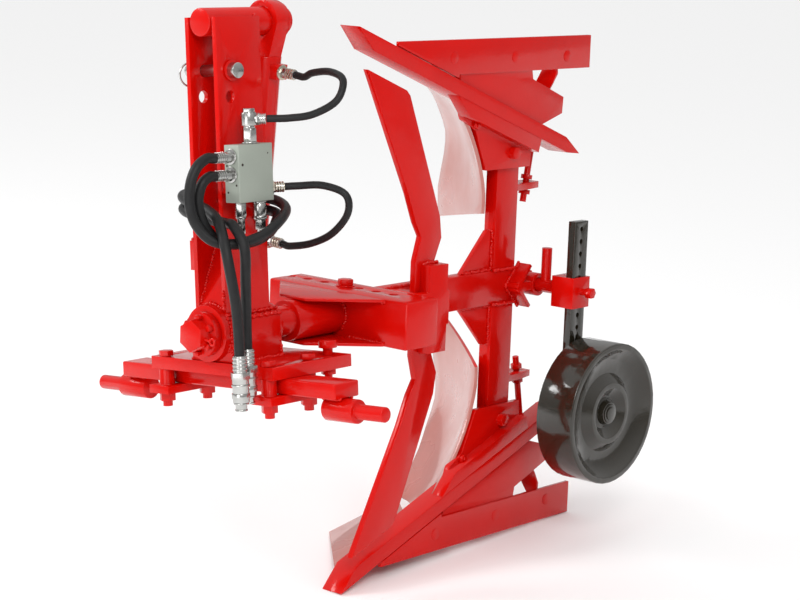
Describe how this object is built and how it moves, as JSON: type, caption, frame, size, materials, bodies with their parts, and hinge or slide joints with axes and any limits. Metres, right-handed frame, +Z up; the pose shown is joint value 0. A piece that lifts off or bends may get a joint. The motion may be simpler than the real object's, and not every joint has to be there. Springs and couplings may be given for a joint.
{
  "type": "reversible moldboard plough",
  "caption": "Three-point mounted turnover plough: a box-beam frame with mirrored upper and lower bodies turns on a headstock spindle by a hydraulic cylinder, with a swinging depth wheel.",
  "frame": {"origin": "on the ground under the middle of the bounding box, the hoses and couplers left out", "axes": "+Z up from the ground it parks on, +Y to the rear, against the direction of travel, +X to the left side of the plough, where its land wheel is"},
  "size_m": [0.6332, 1.0393, 1.0051],
  "materials": {
    "red_paint": "thick gloss red paint",
    "black_enamel": "gloss black enamel",
    "zinc_plate": "bright zinc plate",
    "valve_metal": "dull grey phosphated steel",
    "chromed_rod": "hard chrome",
    "hose_rubber": "black wire-braided hydraulic hose cover"
  },
  "bodies": {
    "headstock": {"base_plate": "red_paint", "front_valve_cartridge": "zinc_plate", "left_cheek_plate": "red_paint", "left_crossbar_clamp": "red_paint", "left_stop_bolt": "red_paint", "lower_cylinder_hose": "hose_rubber", "lower_quick_coupler": "zinc_plate", "lower_supply_hose": "hose_rubber", "lower_supply_union": "zinc_plate", "rear_valve_cartridge": "zinc_plate", "right_cheek_plate": "red_paint", "right_crossbar_clamp": "red_paint", "right_stop_bolt": "red_paint", "spindle_housing": "red_paint", "top_bar": "red_paint", "top_link_pin": "zinc_plate", "upper_cylinder_hose": "hose_rubber", "upper_quick_coupler": "zinc_plate", "upper_supply_hose": "hose_rubber", "upper_supply_union": "zinc_plate", "valve_block": "valve_metal", "valve_rear_union": "zinc_plate", "valve_top_elbow": "zinc_plate"},
    "crossbar_with_pins": {"crossbar": "red_paint", "left_hitch_pin": "red_paint", "right_hitch_pin": "red_paint"},
    "turnover_cylinder": {"cylinder_barrel": "red_paint", "lower_port_union": "zinc_plate", "upper_port_union": "zinc_plate"},
    "cylinder_piston": {"cylinder_rod": "chromed_rod"},
    "turning_frame": {"box_beam": "red_paint", "coulter_bracket": "red_paint", "crank_arm": "red_paint", "lower_adjusting_rod": "red_paint", "lower_bar_point": "red_paint", "lower_coulter": "red_paint", "lower_frog": "red_paint", "lower_gusset_plate": "red_paint", "lower_landside": "red_paint", "lower_leg": "red_paint", "lower_moldboard": "red_paint", "lower_share": "red_paint", "lower_tail_stay": "red_paint", "plough_beam": "red_paint", "spindle": "red_paint", "spindle_nut": "red_paint", "upper_adjusting_rod": "red_paint", "upper_bar_point": "red_paint", "upper_coulter": "red_paint", "upper_frog": "red_paint", "upper_gusset_plate": "red_paint", "upper_landside": "red_paint", "upper_leg": "red_paint", "upper_moldboard": "red_paint", "upper_share": "red_paint", "upper_tail_stay": "red_paint", "wheel_bracket": "red_paint"},
    "wheel_swing_arm": {"wheel_arm": "red_paint"},
    "wheel_post_and_axle": {"wheel_post": "black_enamel"},
    "land_wheel": {"gauge_wheel": "black_enamel"}
  },
  "joints": [
    {"name": "turnover", "type": "hinge", "parent": "headstock", "child": "turning_frame", "pos_m": [-0.01462, -0.49405, 0.49506], "axis": [0.001, 0.999, -0.0444], "range_deg": [0, 170.24]},
    {"name": "crossbar_shift", "type": "slide", "parent": "headstock", "child": "crossbar_with_pins", "axis": [0.9914, 0.0048, 0.1308], "range_m": [-0.04, 0.04]},
    {"name": "cylinder_swing", "type": "hinge", "parent": "headstock", "child": "turnover_cylinder", "pos_m": [-0.07841, -0.27268, 0.9705], "axis": [-0.001, -0.999, 0.0444], "range_deg": [0, 8.8], "deforming": ["upper_cylinder_hose", "lower_cylinder_hose"]},
    {"name": "rod_retract", "type": "slide", "parent": "turnover_cylinder", "child": "cylinder_piston", "axis": [0.0224, 0.0443, 0.9988], "range_m": [0, 0.0744]},
    {"name": "wheel_arm_swing", "type": "hinge", "parent": "turning_frame", "child": "wheel_swing_arm", "pos_m": [-0.01375, 0.35012, 0.45758], "axis": [-0.9989, -0.001, -0.0461], "range_deg": [0, 180]},
    {"name": "post_height", "type": "slide", "parent": "wheel_swing_arm", "child": "wheel_post_and_axle", "axis": [-0.0461, 0.0444, 0.998], "range_m": [-0.085, 0.055]},
    {"name": "wheel_spin", "type": "hinge", "parent": "wheel_post_and_axle", "child": "land_wheel", "pos_m": [0.18581, 0.34091, 0.25477], "axis": [0.9989, 0.001, 0.0461], "continuous": true}
  ],
  "couplings": [
    {"joint": "cylinder_swing", "follows": "rod_retract", "rad_per_m": 2.0644}
  ]
}
